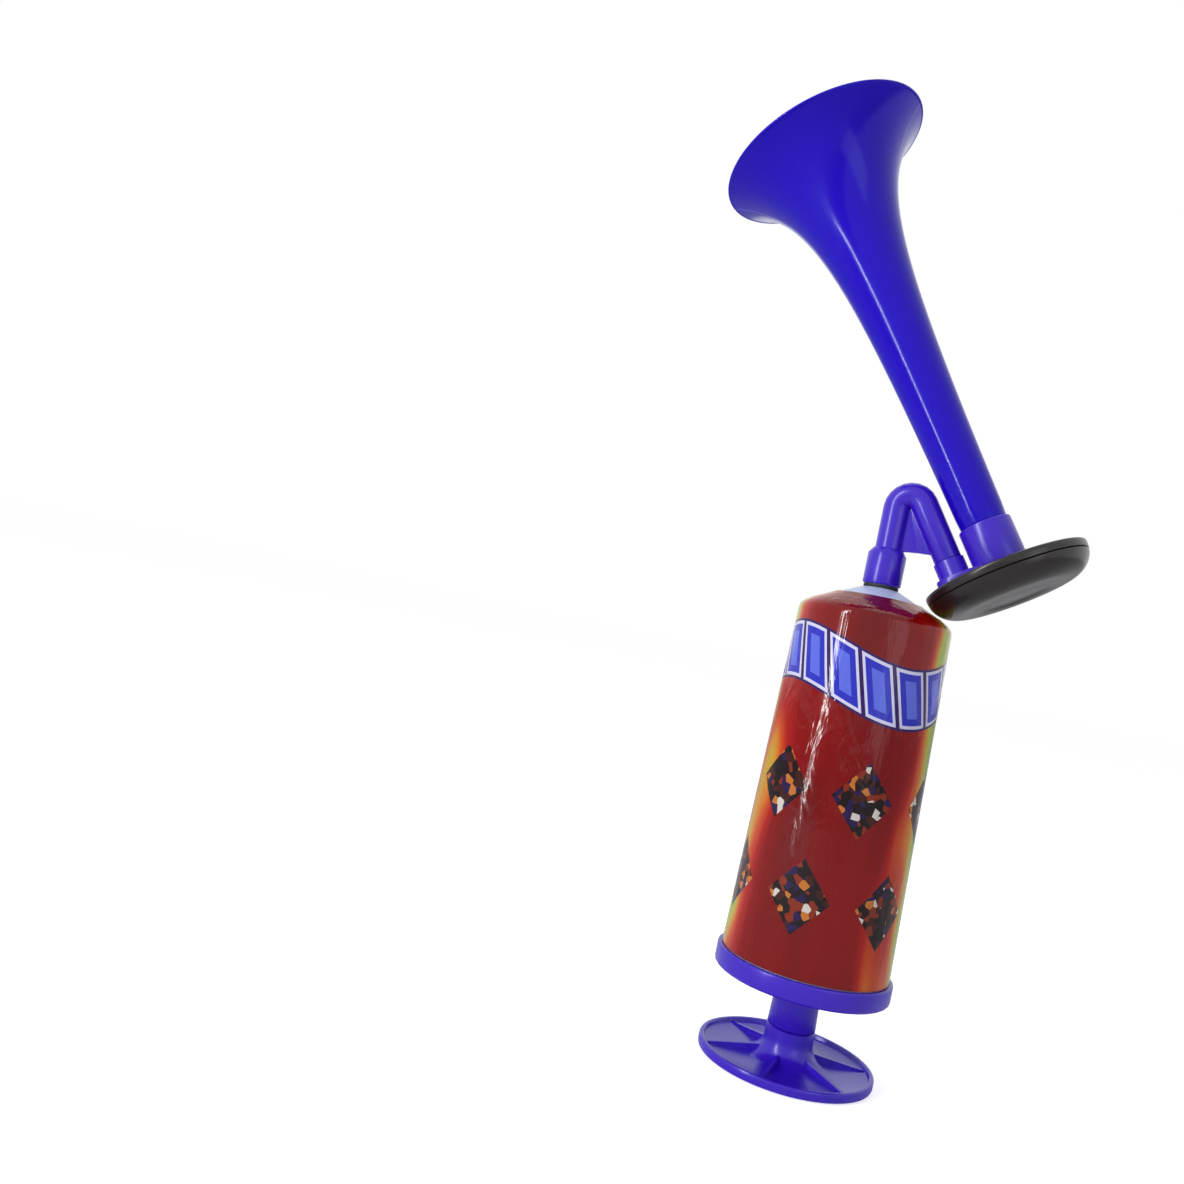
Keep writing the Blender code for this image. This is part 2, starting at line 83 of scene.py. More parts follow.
# The rod's pocket in the handle's neck
POCKET_SIZE = (12.6, 7.6, 18.0)
POCKET_LEVEL = 13.0

# The horn head's frame: on the housing's front edge, turned back from the pump axis
HEAD_TILT = math.radians(32.6)
HEAD_CENTRE = Vector((40.2, 0.0, 186.3)) * MM
HEAD_FRAME = Matrix.Translation(HEAD_CENTRE) @ Matrix.Rotation(-HEAD_TILT, 4, "Y")

# Diaphragm housing in the head's frame: the front cover, and the rear one with a rounded edge
HOUSING_RADIUS = 27.8
HOUSING_ROUNDING = 9.0
ROUNDING_LEVEL = -1.2
FRONT_COVER = ((6.3, -2.6), (6.3, -0.8), (25.3, -0.8), (25.8, -0.7), (26.1, -0.35), (26.3, -0.1),
               (26.7, 0.0), (27.2, 0.0), (27.6, -0.15), (HOUSING_RADIUS, -0.5),
               (HOUSING_RADIUS, ROUNDING_LEVEL), (27.74, -2.2), (27.6, -2.85), (27.4, -3.0),
               (26.1, -3.0), (26.1, -2.6))
REAR_FACE = ((4.0, -9.9), (11.6, -9.9), (12.0, -10.2))
REAR_INSIDE = ((27.35, -3.3), (26.1, -3.3), (26.1, -4.6), (21.7, -4.6), (20.7, -8.5), (4.0, -8.5))

# Trumpet along its axis in the head's frame, as in the solid
TRUMPET_LENGTH = 174.8
TRUMPET_WALL = 1.3
SOCKET_HEIGHT = 17.6
SOCKET_CLEARANCE = 0.3
STEM_FOOT = 3.3
STEM_RADIUS = 7.2
STEM_BORE = 5.9
STEM_STEP = 0.01
SHOULDER_DROP = 0.2
TUBE_RADIUS = 6.8
TUBE_TAPER = 0.004
FLARE_RADIUS = 31.0
FLARE_LENGTH = 42.8
LIP_REACH = 0.7
RING_CROWDING = 1.7
# Half width of the painted highlight along the mould's parting line
PARTING_HIGHLIGHT_HALF_WIDTH = 0.28

# Barrel under the label, as in the solid
BARREL_FOOT = 32.3
BARREL_LENGTH = 127.5
BARREL_FOOT_RADIUS = 29.3
BARREL_TAPER = 2.8
BARREL_TOP_RADIUS = 26.5

# Label film: up the barrel in even steps, then over the shoulder, where it is thinner
FILM_FOOT = 37.4
FILM_TOP = 159.0
FILM_STEPS = 12
FILM_GAP = 0.31
FILM_SHOULDER = ((26.81, 159.8), (26.72, 161.0), (26.45, 162.0), (25.9, 163.0), (24.9, 163.9),
                 (22.75, 165.3), (19.25, 166.9), (15.35, 168.9))
FILM_WALL = 0.38
SHOULDER_WALL = 0.2
SHOULDER_RISE = 0.3
WALL_CHANGE = 163
RISE_START = 162

# Print on the unrolled film, in metres and radians: a row of bars, rows of diamonds, and the ground
FILM_RADIUS = 0.030
FILM_GIRTH = 0.1885
BAR_COUNT = 14
BAR_LEVEL = 0.141
BAR_SWAY = 0.005
BAR_SWAY_RATE = 66.7
BAR_SLANT = 0.3
BAR_HALF_WIDTH = 0.0046
BAR_HALF_HEIGHT = 0.0085
BAR_LAYERS = ((0.0022, (44, 16, 92)), (0.0013, (214, 212, 240)), (0.0002, (38, 46, 190)),
              (-0.0022, (92, 108, 226)))
DIAMOND_COUNT = 6
DIAMOND_LEVEL = 0.046
DIAMOND_PITCH = 0.036
DIAMOND_REACH = 0.36
UPRIGHT_STRETCH = 0.28
GROUND_TURN = -0.15
GROUND_WAVES = 2.0
GROUND_SWING = 0.40
GROUND_STOPS = ((0.0, (112, 1, 4)), (0.46, (140, 2, 6)), (0.60, (176, 20, 8)), (0.70, (206, 76, 16)),
                (0.78, (214, 138, 22)), (0.86, (178, 190, 30)), (1.0, (112, 166, 40)))
SPECK_STOPS = ((0.0, (26, 12, 16)), (0.45, (64, 24, 20)), (0.62, (134, 44, 20)), (0.76, (38, 20, 74)),
               (0.88, (196, 116, 44)), (0.95, (214, 206, 196)))

# Studio, in metres: each lamp's name, place, size, power in watts and colour
LAMPS = (("key", (-0.56, -0.90, 0.36), (0.05, 1.1), 7.5, (1.0, 1.0, 1.0)),
         ("fill", (0.95, -0.75, 0.45), (0.5, 0.8), 1.3, (0.94, 0.96, 1.0)),
         ("top", (-0.1, 0.25, 1.25), (0.7, 0.7), 2.0, (1.0, 1.0, 1.0)))
LAMP_TARGET = Vector((0.0, 0.0, 0.17))
FLOOR_SIZE = 60.0
FLOOR_DROP = 0.0002
FLOOR_GLOW = 0.6
AMBIENT = 0.42

# Camera fitted to the photograph: lens in millimetres, place in metres, and the directions of its sides
CAMERA_LENS = 33.19
CAMERA_PLACE = (0.0894, -0.3966, 0.1424)
CAMERA_RIGHT = (0.87236, 0.44347, 0.20572)
CAMERA_UP = (-0.17397, -0.11165, 0.9784)
CAMERA_BACK = (0.45686, -0.88931, -0.02025)


def srgb(red, green, blue):
    """A display colour from 0 to 255 as linear red, green, blue and alpha."""
    values = [channel / 255 for channel in (red, green, blue)]
    linear = [v / 12.92 if v <= 0.04045 else ((v + 0.055) / 1.055) ** 2.4 for v in values]
    return (*linear, 1.0)


class AirHornSettings(bpy.types.PropertyGroup):
    """What a user may change before building the looks."""
    segments: bpy.props.IntProperty(
        name="Segments", description="Facets round each turned piece", default=128, min=32, max=256)
    rings: bpy.props.IntProperty(
        name="Rings", description="Rings along the trumpet", default=56, min=16, max=120)
    lip_radius: bpy.props.FloatProperty(
        name="Lip radius", description="Radius of the bead round the trumpet's mouth",
        default=0.55 * MM, min=0.2 * MM, max=0.7 * MM, unit="LENGTH")
    blue: bpy.props.FloatVectorProperty(
        name="Blue", description="Colour of the blue mouldings", subtype="COLOR", size=4,
        default=srgb(30, 0, 190), min=0.0, max=1.0)
    black: bpy.props.FloatVectorProperty(
        name="Black", description="Colour of the diaphragm housing", subtype="COLOR", size=4,
        default=srgb(10, 4, 8), min=0.0, max=1.0)
    white: bpy.props.FloatVectorProperty(
        name="White", description="Colour of the pump barrel", subtype="COLOR", size=4,
        default=srgb(206, 218, 246), min=0.0, max=1.0)


def settings():
    """The values shown in the sidebar."""
    return bpy.context.scene.air_horn


def feed(tree, value, socket):
    """Link an output to an input socket, or give the socket a plain value."""
    if isinstance(value, bpy.types.NodeSocket):
        tree.links.new(value, socket)
    else:
        socket.default_value = value


def add_node(tree, kind, place, **values):
    """A node with its sockets fed by name, with an underscore for each space."""
    node = tree.nodes.new(kind)
    node.location = place
    for name, value in values.items():
        feed(tree, value, node.inputs[name.replace("_", " ")])
    return node


def maths(tree, operation, place, *values):
    """The result of a Math node fed with the values in order."""
    node = tree.nodes.new("ShaderNodeMath")
    node.operation = operation
    node.location = place
    for socket, value in zip(node.inputs, values):
        feed(tree, value, socket)
    return node.outputs[0]


def mixed(tree, place, mask, under, over):
    """Lay one colour over another where the mask is 1."""
    mix = tree.nodes.new("ShaderNodeMix")
    mix.data_type = "RGBA"
    mix.location = place
    for name, value in (("Factor", mask), ("A", under), ("B", over)):
        feed(tree, value, mix.inputs[name])
    return mix.outputs["Result"]


def colour_ramp(tree, place, factor, stops, sharp=False):
    """A colour ramp from (position, display colour) pairs."""
    ramp = tree.nodes.new("ShaderNodeValToRGB")
    ramp.location = place
    tree.links.new(factor, ramp.inputs["Fac"])
    if sharp:
        ramp.color_ramp.interpolation = "CONSTANT"
    elements = ramp.color_ramp.elements
    elements[0].position, elements[0].color = stops[0][0], srgb(*stops[0][1])
    elements[1].position, elements[1].color = stops[-1][0], srgb(*stops[-1][1])
    for position, colour in stops[1:-1]:
        elements.new(position).color = srgb(*colour)
    return ramp.outputs["Color"]


def ripple_group():
    """Slight moulding ripple: a normal, and a roughness that varies about its input."""
    group = bpy.data.node_groups.get("moulding_ripple")
    if group:
        return group
    group = bpy.data.node_groups.new("moulding_ripple", "ShaderNodeTree")
    group.interface.new_socket("Roughness", in_out="INPUT", socket_type="NodeSocketFloat")
    group.interface.new_socket("Ripple", in_out="INPUT", socket_type="NodeSocketFloat")
    group.interface.new_socket("Roughness", in_out="OUTPUT", socket_type="NodeSocketFloat")
    group.interface.new_socket("Normal", in_out="OUTPUT", socket_type="NodeSocketVector")
    entry = add_node(group, "NodeGroupInput", (-700, 0))
    place = add_node(group, "ShaderNodeTexCoord", (-900, 200)).outputs["Object"]
    broad = add_node(group, "ShaderNodeTexNoise", (-700, 250), Vector=place, Scale=45.0, Detail=2.0)
    fine = add_node(group, "ShaderNodeTexNoise", (-700, -200), Vector=place, Scale=900.0, Detail=3.0)
    bump = add_node(group, "ShaderNodeBump", (-300, 200), Strength=entry.outputs["Ripple"],
                    Distance=0.0012, Height=broad.outputs["Fac"])
    spread = 0.10
    shift = maths(group, "MULTIPLY_ADD", (-450, -150), fine.outputs["Fac"], spread, -spread / 2)
    rough = maths(group, "ADD", (-250, -100), entry.outputs["Roughness"], shift)
    add_node(group, "NodeGroupOutput", (0, 0), Roughness=rough, Normal=bump.outputs["Normal"])
    return group


def new_material(name):
    """A new material with its node tree and its Principled BSDF."""
    material = bpy.data.materials.new(name)
    material.use_nodes = True
    tree = material.node_tree
    return material, tree, tree.nodes["Principled BSDF"]


def plastic(name, colour, roughness, ripple, specular=0.5):
    """A moulded plastic with a slight ripple."""
    material, tree, shader = new_material(name)
    shader.inputs["Base Color"].default_value = colour
    shader.inputs["IOR"].default_value = 1.46
    shader.inputs["Specular IOR Level"].default_value = specular
    group = tree.nodes.new("ShaderNodeGroup")
    group.node_tree = ripple_group()
    group.location = (-300, -100)
    group.inputs["Roughness"].default_value = roughness
    group.inputs["Ripple"].default_value = ripple
    tree.links.new(group.outputs["Roughness"], shader.inputs["Roughness"])
    tree.links.new(group.outputs["Normal"], shader.inputs["Normal"])
    material.diffuse_color = colour
    return material


def trumpet_material(colour):
    """Blue plastic with a fine pale painted highlight where the two mould halves met."""
    material = plastic("blue_plastic_trumpet", colour, roughness=0.14, ripple=0.10, specular=0.24)
    tree = material.node_tree
    place = add_node(tree, "ShaderNodeTexCoord", (-1100, 300)).outputs["Object"]
    split = add_node(tree, "ShaderNodeSeparateXYZ", (-900, 300), Vector=place)
    side = maths(tree, "ABSOLUTE", (-700, 300), split.outputs["Y"])
    # Painted highlight: a pale stripe on the real parting line, standing in for the light it catches
    parting_highlight_mask = maths(tree, "LESS_THAN", (-550, 300), side, PARTING_HIGHLIGHT_HALF_WIDTH * MM)
    parting_highlight_colour = mixed(tree, (-300, 300), parting_highlight_mask, colour, srgb(112, 92, 236))
    tree.links.new(parting_highlight_colour, tree.nodes["Principled BSDF"].inputs["Base Color"])
    return material


def label_ground(tree, angle, flat):
    """Deep red with soft upright bands of orange and yellow green."""
    turned = maths(tree, "ADD", (-1300, 600), angle, GROUND_TURN)
    wave = maths(tree, "COSINE", (-1000, 600), maths(tree, "MULTIPLY", (-1150, 600), turned, GROUND_WAVES))
    swing = maths(tree, "MULTIPLY", (-800, 600), wave, GROUND_SWING)
    drift = add_node(tree, "ShaderNodeTexNoise", (-1000, 400), Vector=flat, Scale=48.0, Detail=1.0,
                     Distortion=0.4)
    level = maths(tree, "ADD", (-650, 500), swing, drift.outputs["Fac"])
    return colour_ramp(tree, (-500, 500), level, GROUND_STOPS)


def label_bars(tree, around, height):
    """How far each point lies outside a row of slanted bars that sways round the barrel."""
    pitch = FILM_GIRTH / BAR_COUNT
    sway = maths(tree, "SINE", (-1300, -150), maths(tree, "MULTIPLY", (-1450, -150), around, BAR_SWAY_RATE))
    offset = maths(tree, "MULTIPLY", (-1150, -150), sway, BAR_SWAY)
    middle = maths(tree, "ADD", (-1000, -150), offset, BAR_LEVEL)
    rise = maths(tree, "SUBTRACT", (-850, -150), height, middle)
    slant = maths(tree, "ADD", (-700, -50), around, maths(tree, "MULTIPLY", (-850, -50), rise, BAR_SLANT))
    place = maths(tree, "FRACT", (-400, -50), maths(tree, "DIVIDE", (-550, -50), slant, pitch))
    side = maths(tree, "ABSOLUTE", (-100, -50), maths(tree, "SUBTRACT", (-250, -50), place, 0.5))
    across = maths(tree, "SUBTRACT", (200, -50), maths(tree, "MULTIPLY", (50, -50), side, pitch),
                   BAR_HALF_WIDTH)
    along = maths(tree, "SUBTRACT", (-550, -200), maths(tree, "ABSOLUTE", (-700, -200), rise),
                  BAR_HALF_HEIGHT)
    return maths(tree, "MAXIMUM", (350, -100), across, along)


def label_diamonds(tree, around, height):
    """A mask of upright diamonds in two staggered rows below the bars."""
    column = maths(tree, "DIVIDE", (-1300, -500), around, FILM_GIRTH / DIAMOND_COUNT)
    lift = maths(tree, "SUBTRACT", (-1450, -650), height, DIAMOND_LEVEL)
    row = maths(tree, "DIVIDE", (-1300, -650), lift, DIAMOND_PITCH)
    stagger = maths(tree, "MULTIPLY", (-1000, -800), maths(tree, "FLOOR", (-1150, -800), row), 0.5)
    column = maths(tree, "ADD", (-1000, -500), column, stagger)
    parts = []
    for value, drawn_at in ((column, -500), (row, -650)):
        part = maths(tree, "FRACT", (-850, drawn_at), value)
        centred = maths(tree, "SUBTRACT", (-700, drawn_at), part, 0.5)
        parts.append(maths(tree, "ABSOLUTE", (-550, drawn_at), centred))
    reach = maths(tree, "ADD", (-400, -550), *parts)
    inside = maths(tree, "LESS_THAN", (-250, -550), reach, DIAMOND_REACH)
    two_rows = maths(tree, "COMPARE", (-250, -750), row, 1.0, 1.0)
    return maths(tree, "MULTIPLY", (-100, -600), inside, two_rows)


def label_specks(tree, around, height):
    """Small flakes of colour that fill the dark diamonds."""
    print_plane = add_node(tree, "ShaderNodeCombineXYZ", (-1500, -300), X=around, Y=height, Z=0.0)
    flakes = add_node(tree, "ShaderNodeTexVoronoi", (-600, -900), Vector=print_plane.outputs["Vector"],
                      Scale=420.0, Randomness=1.0)
    pick = add_node(tree, "ShaderNodeSeparateColor", (-400, -900), Color=flakes.outputs["Color"])
    return colour_ramp(tree, (-200, -900), pick.outputs[0], SPECK_STOPS, sharp=True)


def label_crinkle(tree, split, tall):
    """The normal of a shrunk film, with creases that run up the barrel."""
    solid = add_node(tree, "ShaderNodeCombineXYZ", (700, -600), X=split.outputs["X"],
                     Y=split.outputs["Y"], Z=tall)
    creases = add_node(tree, "ShaderNodeTexNoise", (900, -600), Vector=solid.outputs["Vector"],
                       Scale=150.0, Detail=3.0, Roughness=0.6, Distortion=0.8)
    bump = add_node(tree, "ShaderNodeBump", (1150, -500), Strength=0.32, Distance=0.0014,
                    Height=creases.outputs["Fac"])
    return bump.outputs["Normal"]


def label_material():
    """Printed film: bands over deep red, a swaying row of blue bars and speckled dark diamonds."""
    material, tree, shader = new_material("printed_film")
    coordinates = add_node(tree, "ShaderNodeTexCoord", (-2200, 0)).outputs["Object"]
    split = add_node(tree, "ShaderNodeSeparateXYZ", (-2000, 0), Vector=coordinates)
    angle = maths(tree, "ARCTAN2", (-1800, 150), split.outputs["Y"], split.outputs["X"])
    around = maths(tree, "MULTIPLY", (-1650, 150), angle, FILM_RADIUS)
    height = split.outputs["Z"]
    tall = maths(tree, "MULTIPLY", (-1650, -50), height, UPRIGHT_STRETCH)
    flat = add_node(tree, "ShaderNodeCombineXYZ", (-1500, 50), X=around, Y=tall, Z=0.0).outputs["Vector"]
    colour = mixed(tree, (100, 300), label_diamonds(tree, around, height), label_ground(tree, angle, flat),
                   label_specks(tree, around, height))
    outside = label_bars(tree, around, height)
    for index, (limit, shade) in enumerate(BAR_LAYERS):
        mask = maths(tree, "LESS_THAN", (500 + 250 * index, -100), outside, limit)
        colour = mixed(tree, (600 + 250 * index, 200), mask, colour, srgb(*shade))
    tree.links.new(colour, shader.inputs["Base Color"])
    tree.links.new(label_crinkle(tree, split, tall), shader.inputs["Normal"])
    shader.location = (1800, 0)
    tree.nodes["Material Output"].location = (2150, 0)
    shader.inputs["Roughness"].default_value = 0.11
    shader.inputs["IOR"].default_value = 1.46
    shader.inputs["Specular IOR Level"].default_value = 0.36
    material.diffuse_color = srgb(132, 3, 10)
    return material


def paint(node, material):
    """Give a CAD node one material through its slots."""
    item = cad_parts[node]
    if not item.material_slots:
        item.data.materials.append(material)
    for slot in item.material_slots:
        slot.link = "OBJECT"
        slot.material = material


def select_only(item):
    """Make one object the only selected one, and the active one."""
    bpy.ops.object.select_all(action="DESELECT")
    item.select_set(True)
    bpy.context.view_layer.objects.active = item


def refined(node, name, width):
    """A copy of a CAD node with merged faces, softly rounded edges and smooth sides."""
    item = bpy.data.objects.new(name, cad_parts[node].data.copy())
    bpy.context.scene.collection.objects.link(item)
    select_only(item)
    if item.data.has_custom_normals:
        bpy.ops.mesh.customdata_custom_splitnormals_clear()
    bpy.ops.object.mode_set(mode="EDIT")
    bpy.ops.mesh.select_all(action="SELECT")
    bpy.ops.mesh.remove_doubles(threshold=COPY_MERGE * MM)
    bpy.ops.mesh.dissolve_limited(angle_limit=math.radians(FLAT_JOIN))
    bpy.ops.object.mode_set(mode="OBJECT")
    bevel = item.modifiers.new("Soft edges", "BEVEL")
    bevel.width = width
    bevel.segments = 2
    bevel.limit_method = "ANGLE"
    bevel.angle_limit = math.radians(BEVELLED_EDGE)
    bpy.ops.object.modifier_apply(modifier=bevel.name)
    bpy.ops.object.shade_smooth_by_angle(angle=math.radians(MOULDED_CREASE))
    return item


def turn(name, outline, closed=True):
    """Draw a ring and carry it along an outline, which closes on itself or ends in two filled discs."""
    bpy.ops.object.select_all(action="DESELECT")
    radius, height = outline[0]
    bpy.ops.mesh.primitive_circle_add(vertices=settings().segments, radius=radius * MM,
                                      location=(0, 0, height * MM))
    item = bpy.context.object
    item.name = name
    bpy.ops.object.mode_set(mode="EDIT")
    bpy.ops.mesh.select_all(action="SELECT")
    steps = list(outline[1:]) + ([outline[0]] if closed else [])
    for next_radius, next_height in steps:
        bpy.ops.mesh.extrude_region_move(
            TRANSFORM_OT_translate={"value": (0, 0, (next_height - height) * MM)})
        grow = next_radius / radius
        bpy.ops.transform.resize(value=(grow, grow, 1.0), center_override=(0, 0, next_height * MM))
        radius, height = next_radius, next_height
    bpy.ops.mesh.select_all(action="SELECT")
    bpy.ops.mesh.remove_doubles(threshold=TURNED_MERGE * MM)
    if not closed:
        bpy.ops.mesh.fill_holes(sides=0)
        bpy.ops.mesh.select_all(action="SELECT")
    bpy.ops.mesh.normals_make_consistent(inside=False)
    bpy.ops.object.mode_set(mode="OBJECT")
    bpy.ops.object.shade_smooth_by_angle(angle=math.radians(TURNED_CREASE))
    return item


def arc(centre, radius, angles):
    """Points on a circle in the outline's plane, with angles in degrees from the outward direction."""
    return [(centre[0] + radius * math.cos(math.radians(a)), centre[1] + radius * math.sin(math.radians(a)))
            for a in angles]


def settle(item, matrix=None):
    """Put a finished piece in place and leave it at the origin, unturned and unscaled."""
    if matrix is not None:
        item.matrix_world = matrix @ item.matrix_world
    select_only(item)
    bpy.ops.object.transform_apply(location=True, rotation=True, scale=True)


def fit(item, tool, operation):
    """Join or cut a piece with a tool object, and clear the tool away."""
    change = item.modifiers.new("Fit", "BOOLEAN")
    change.operation = operation
    change.object = tool
    select_only(item)
    bpy.ops.object.modifier_apply(modifier=change.name)
    bpy.data.objects.remove(tool, do_unlink=True)


def dress(item, node, material, body):
    """Give a finished piece its material and let it stand for a CAD node on its body."""
    item.data.materials.clear()
    item.data.materials.append(material)
    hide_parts(node)
    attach(item, body)


class AIRHORN_OT_mouldings(bpy.types.Operator):
    """Finish the plastic and rubber mouldings"""
    bl_idname = "airhorn.mouldings"
    bl_label = "Mouldings"

    def execute(self, context):
        blue = plastic("blue_plastic", settings().blue, roughness=0.16, ripple=0.10, specular=0.22)
        black = plastic("black_plastic", settings().black, roughness=0.22, ripple=0.04, specular=0.06)
        white = plastic("white_plastic", settings().white, roughness=0.34, ripple=0.10)
        rubber = plastic("soft_rubber", srgb(40, 40, 42), roughness=0.7, ripple=0.05)
        clear = plastic("diaphragm_film", srgb(222, 220, 212), roughness=0.3, ripple=0.05)
        for node in ("handle", "end_cap", "piston_rod", "air_elbow", "horn_base"):
            paint(node, blue)
        for node in ("housing_front", "housing_rear"):
            paint(node, black)
        for node in ("pump_barrel", "piston_head"):
            paint(node, white)
        for node in ("piston_seal", "outlet_washer", "diaphragm_gasket"):
            paint(node, rubber)
        paint("diaphragm", clear)
        return {"FINISHED"}


class AIRHORN_OT_blue_pieces(bpy.types.Operator):
    """Soften the edges of the end cap, elbow and horn base"""
    bl_idname = "airhorn.blue_pieces"
    bl_label = "Blue mouldings"

    def execute(self, context):
        blue = bpy.data.materials["blue_plastic"]
        for node, body, width in SOFTENED:
            item = refined(node, f"{node}_moulding", width * MM)
            dress(item, node, blue, body)
        return {"FINISHED"}


class AIRHORN_OT_handle(bpy.types.Operator):
    """Turn the dish handle and add its low ribs and the rod's pocket"""
    bl_idname = "airhorn.handle"
    bl_label = "Handle"

    def execute(self, context):
        fillet_centre = (NECK_RADIUS + NECK_FILLET, DISH_FLOOR + NECK_FILLET)
        fillet = arc(fillet_centre, NECK_FILLET, range(270, 180, -10))
        item = turn("handle_dish", [*HANDLE_RIM, *fillet, *HANDLE_NECK], closed=False)
        settle(item)
        fit(item, handle_ribs(), "UNION")
        bpy.ops.object.select_all(action="DESELECT")
        bpy.ops.mesh.primitive_cube_add(size=1.0, location=(0, 0, POCKET_LEVEL * MM),
                                        scale=[side * MM for side in POCKET_SIZE])
        fit(item, bpy.context.object, "DIFFERENCE")
        bpy.ops.object.shade_smooth_by_angle(angle=math.radians(HANDLE_CREASE))
        dress(item, "handle", bpy.data.materials["blue_plastic"], "plunger")
        return {"FINISHED"}


def handle_ribs():
    """Low wedges that run from the neck to the rim, as one object."""
    bpy.ops.object.select_all(action="DESELECT")
    ribs = []
    for k in range(RIB_COUNT):
        bpy.ops.mesh.primitive_cube_add(size=1.0, location=(RIB_MIDDLE * MM, 0, RIB_LEVEL * MM),
                                        scale=[side * MM for side in RIB_SIZE])
        rib = bpy.context.object
        bpy.ops.object.transform_apply(location=True, rotation=True, scale=True)
        for vertex in rib.data.vertices:
            if vertex.co.z > RIB_LEVEL * MM:
                near_neck = vertex.co.x < RIB_MIDDLE * MM
                vertex.co.z = (RIB_TOP_AT_NECK if near_neck else RIB_TOP_AT_RIM) * MM
        rib.data.transform(Matrix.Rotation(math.tau * (k + 0.5) / RIB_COUNT, 4, "Z"))
        ribs.append(rib)
    for rib in ribs:
        rib.select_set(True)
    bpy.ops.object.join()
    return bpy.context.object


class AIRHORN_OT_housing(bpy.types.Operator):
    """Turn the two covers of the round diaphragm housing"""
    bl_idname = "airhorn.housing"
    bl_label = "Diaphragm housing"

    def execute(self, context):
        rounding_centre = (HOUSING_RADIUS - HOUSING_ROUNDING, ROUNDING_LEVEL)
        rounding = arc(rounding_centre, HOUSING_ROUNDING, range(-90, -14, 5))
        front = turn("housing_front_cover", FRONT_COVER)
        rear = turn("housing_rear_cover", [*REAR_FACE, *rounding, *REAR_INSIDE], closed=False)
        for item, node in ((front, "housing_front"), (rear, "housing_rear")):
            settle(item, HEAD_FRAME)
            dress(item, node, bpy.data.materials["black_plastic"], "head")
        return {"FINISHED"}


def trumpet_radius(station):
    """Outer radius at a distance along the trumpet's axis."""
    flare = FLARE_RADIUS / (1 + (TRUMPET_LENGTH - station) / FLARE_LENGTH) ** 2
    return TUBE_RADIUS + TUBE_TAPER * (station - SOCKET_HEIGHT) + flare


class AIRHORN_OT_trumpet(bpy.types.Operator):
    """Build the smooth flared trumpet with its rounded lip"""
    bl_idname = "airhorn.trumpet"
    bl_label = "Trumpet"

    def execute(self, context):
        rings = settings().rings
        bead = settings().lip_radius / MM
        start = SOCKET_HEIGHT + SOCKET_CLEARANCE
        stations = [start + (TRUMPET_LENGTH - start) * (1 - (1 - k / rings) ** RING_CROWDING)
                    for k in range(rings + 1)]
        outside = [(STEM_RADIUS, STEM_FOOT), (STEM_RADIUS, start - STEM_STEP),
                   (trumpet_radius(start) - SHOULDER_DROP, start)]
        outside += [(trumpet_radius(s), s) for s in stations[1:]]
        mouth = outside[-1][0] + LIP_REACH - bead
        lip = arc((mouth, TRUMPET_LENGTH + bead), bead, range(-70, 91, 20))
        inside = [(trumpet_radius(s) - TRUMPET_WALL, s) for s in stations[-2:0:-1]]
        inside += [(STEM_BORE, start), (STEM_BORE, STEM_FOOT)]
        item = turn("trumpet_shell", outside + lip + inside)
        settle(item, HEAD_FRAME)
        dress(item, "trumpet", trumpet_material(settings().blue), "head")
        return {"FINISHED"}


class AIRHORN_OT_label(bpy.types.Operator):
    """Wrap the printed film round the barrel and over its shoulder"""
    bl_idname = "airhorn.label"
    bl_label = "Printed label"

    def execute(self, context):
        foot = BARREL_FOOT_RADIUS - BARREL_TAPER * (FILM_FOOT - BARREL_FOOT) / BARREL_LENGTH
        inner = [(foot + FILM_GAP + (BARREL_TOP_RADIUS - foot) * k / FILM_STEPS,
                  FILM_FOOT + (FILM_TOP - FILM_FOOT) * k / FILM_STEPS) for k in range(FILM_STEPS + 1)]
        inner += FILM_SHOULDER
        outer = [(radius + (FILM_WALL if height < WALL_CHANGE else SHOULDER_WALL),
                  height + (0.0 if height < RISE_START else SHOULDER_RISE)) for radius, height in inner]
        item = turn("label_film", inner + outer[::-1])
        settle(item)
        dress(item, "barrel_label", label_material(), "pump")
        return {"FINISHED"}


class AIRHORN_OT_stage(bpy.types.Operator):
    """Set up the camera, the lights and a pale floor"""
    bl_idname = "airhorn.stage"
    bl_label = "Studio"

    def execute(self, context):
        scene = context.scene
        set_world(scene)
        add_floor()
        add_lamps()
        add_camera(scene)
        scene.view_settings.view_transform = "Standard"
        return {"FINISHED"}


def set_world(scene):
    """A world that is white to look at and dimmer as a light on matt surfaces."""
    world = bpy.data.worlds.new("pale_studio")
    scene.world = world
    world.use_nodes = True
    tree = world.node_tree
    backdrop = tree.nodes["Background"]
    backdrop.inputs["Color"].default_value = (1.0, 1.0, 1.0, 1.0)
    backdrop.inputs["Strength"].default_value = 1.0
    ambient = add_node(tree, "ShaderNodeBackground", (0, -200), Color=(0.97, 0.97, 1.0, 1.0),
                       Strength=AMBIENT)
    path = add_node(tree, "ShaderNodeLightPath", (-200, 300))
    mix = add_node(tree, "ShaderNodeMixShader", (250, 0), Fac=path.outputs["Is Diffuse Ray"])
    tree.links.new(backdrop.outputs[0], mix.inputs[1])
    tree.links.new(ambient.outputs[0], mix.inputs[2])
    tree.links.new(mix.outputs[0], tree.nodes["World Output"].inputs["Surface"])


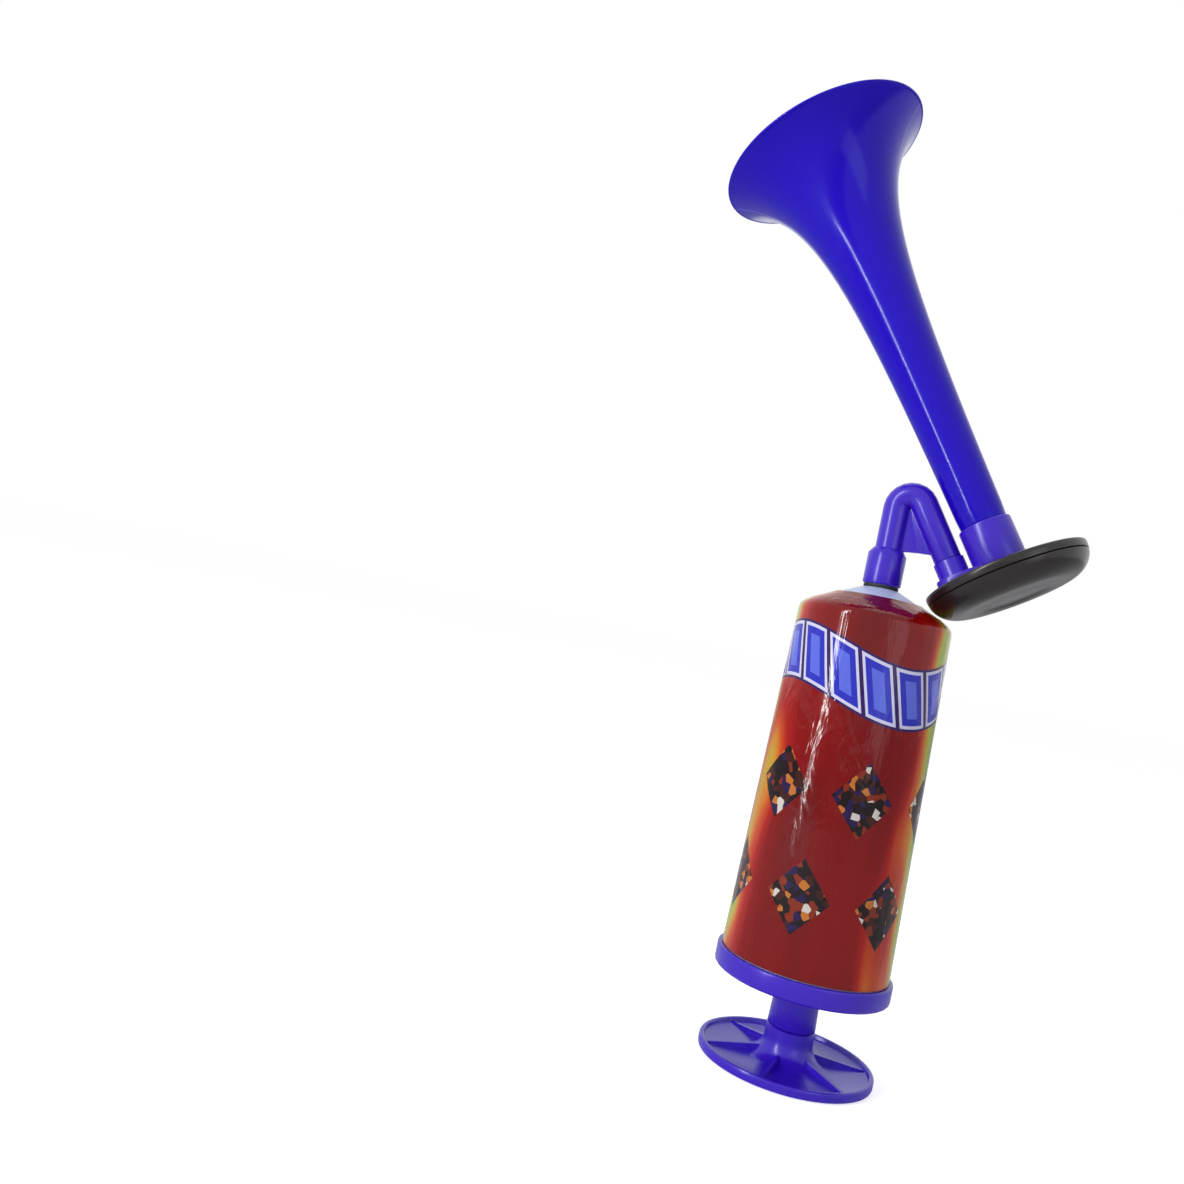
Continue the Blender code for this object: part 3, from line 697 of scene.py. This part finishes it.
def add_floor():
    """A wide pale floor that follows the plunger, because the horn stands on its handle."""
    bpy.ops.object.select_all(action="DESELECT")
    bpy.ops.mesh.primitive_plane_add(size=FLOOR_SIZE, location=(0, 0, -FLOOR_DROP))
    floor = bpy.context.object
    floor.name = "studio_floor"
    material, tree, shader = new_material("studio_floor")
    shader.inputs["Base Color"].default_value = (0.97, 0.97, 0.98, 1.0)
    shader.inputs["Roughness"].default_value = 0.9
    shader.inputs["Specular IOR Level"].default_value = 0.0
    shader.inputs["Emission Color"].default_value = (1.0, 1.0, 1.0, 1.0)
    path = add_node(tree, "ShaderNodeLightPath", (-500, -300))
    shown = maths(tree, "MULTIPLY", (-250, -300), path.outputs["Is Camera Ray"], FLOOR_GLOW)
    tree.links.new(shown, shader.inputs["Emission Strength"])
    floor.data.materials.append(material)
    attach(floor, "plunger")


def add_lamps():
    """Area lamps that face the barrel and don't show themselves."""
    for name, place, size, power, colour in LAMPS:
        data = bpy.data.lights.new(name, "AREA")
        data.shape = "RECTANGLE"
        data.size, data.size_y = size
        data.energy = power
        data.color = colour
        lamp = bpy.data.objects.new(name, data)
        bpy.context.scene.collection.objects.link(lamp)
        lamp.location = place
        lamp.rotation_euler = (Vector(place) - LAMP_TARGET).to_track_quat("Z", "Y").to_euler()
        lamp.visible_camera = False


def add_camera(scene):
    """The photograph's camera."""
    data = bpy.data.cameras.new("photo_view")
    data.sensor_width = 36.0
    data.lens = CAMERA_LENS
    data.clip_start = 0.01
    camera = bpy.data.objects.new("photo_view", data)
    scene.collection.objects.link(camera)
    turned = Matrix((CAMERA_RIGHT, CAMERA_UP, CAMERA_BACK)).transposed().to_4x4()
    camera.matrix_world = Matrix.Translation(CAMERA_PLACE) @ turned
    scene.camera = camera


OPERATORS = (AIRHORN_OT_mouldings, AIRHORN_OT_blue_pieces, AIRHORN_OT_handle, AIRHORN_OT_housing,
             AIRHORN_OT_trumpet, AIRHORN_OT_label, AIRHORN_OT_stage)


class AIRHORN_PT_panel(bpy.types.Panel):
    """Air horn tools in the sidebar"""
    bl_label = "Air horn"
    bl_idname = "AIRHORN_PT_panel"
    bl_space_type = "VIEW_3D"
    bl_region_type = "UI"
    bl_category = "Air horn"

    def draw(self, context):
        layout = self.layout
        values = context.scene.air_horn
        for name in ("segments", "rings", "lip_radius", "blue", "black", "white"):
            layout.prop(values, name)
        for operator in OPERATORS:
            layout.operator(operator.bl_idname)


CLASSES = (AirHornSettings, *OPERATORS, AIRHORN_PT_panel)


def register():
    """Add the classes and the scene's settings to Blender."""
    for item in CLASSES:
        bpy.utils.register_class(item)
    bpy.types.Scene.air_horn = bpy.props.PointerProperty(type=AirHornSettings)


def unregister():
    """Take the scene's settings and the classes away again."""
    del bpy.types.Scene.air_horn
    for item in reversed(CLASSES):
        bpy.utils.unregister_class(item)


def main():
    """Build the looks in order."""
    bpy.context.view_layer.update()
    register()
    bpy.ops.airhorn.mouldings()
    bpy.ops.airhorn.blue_pieces()
    bpy.ops.airhorn.handle()
    bpy.ops.airhorn.housing()
    bpy.ops.airhorn.trumpet()
    bpy.ops.airhorn.label()
    bpy.ops.airhorn.stage()


if __name__ == "__main__":
    main()
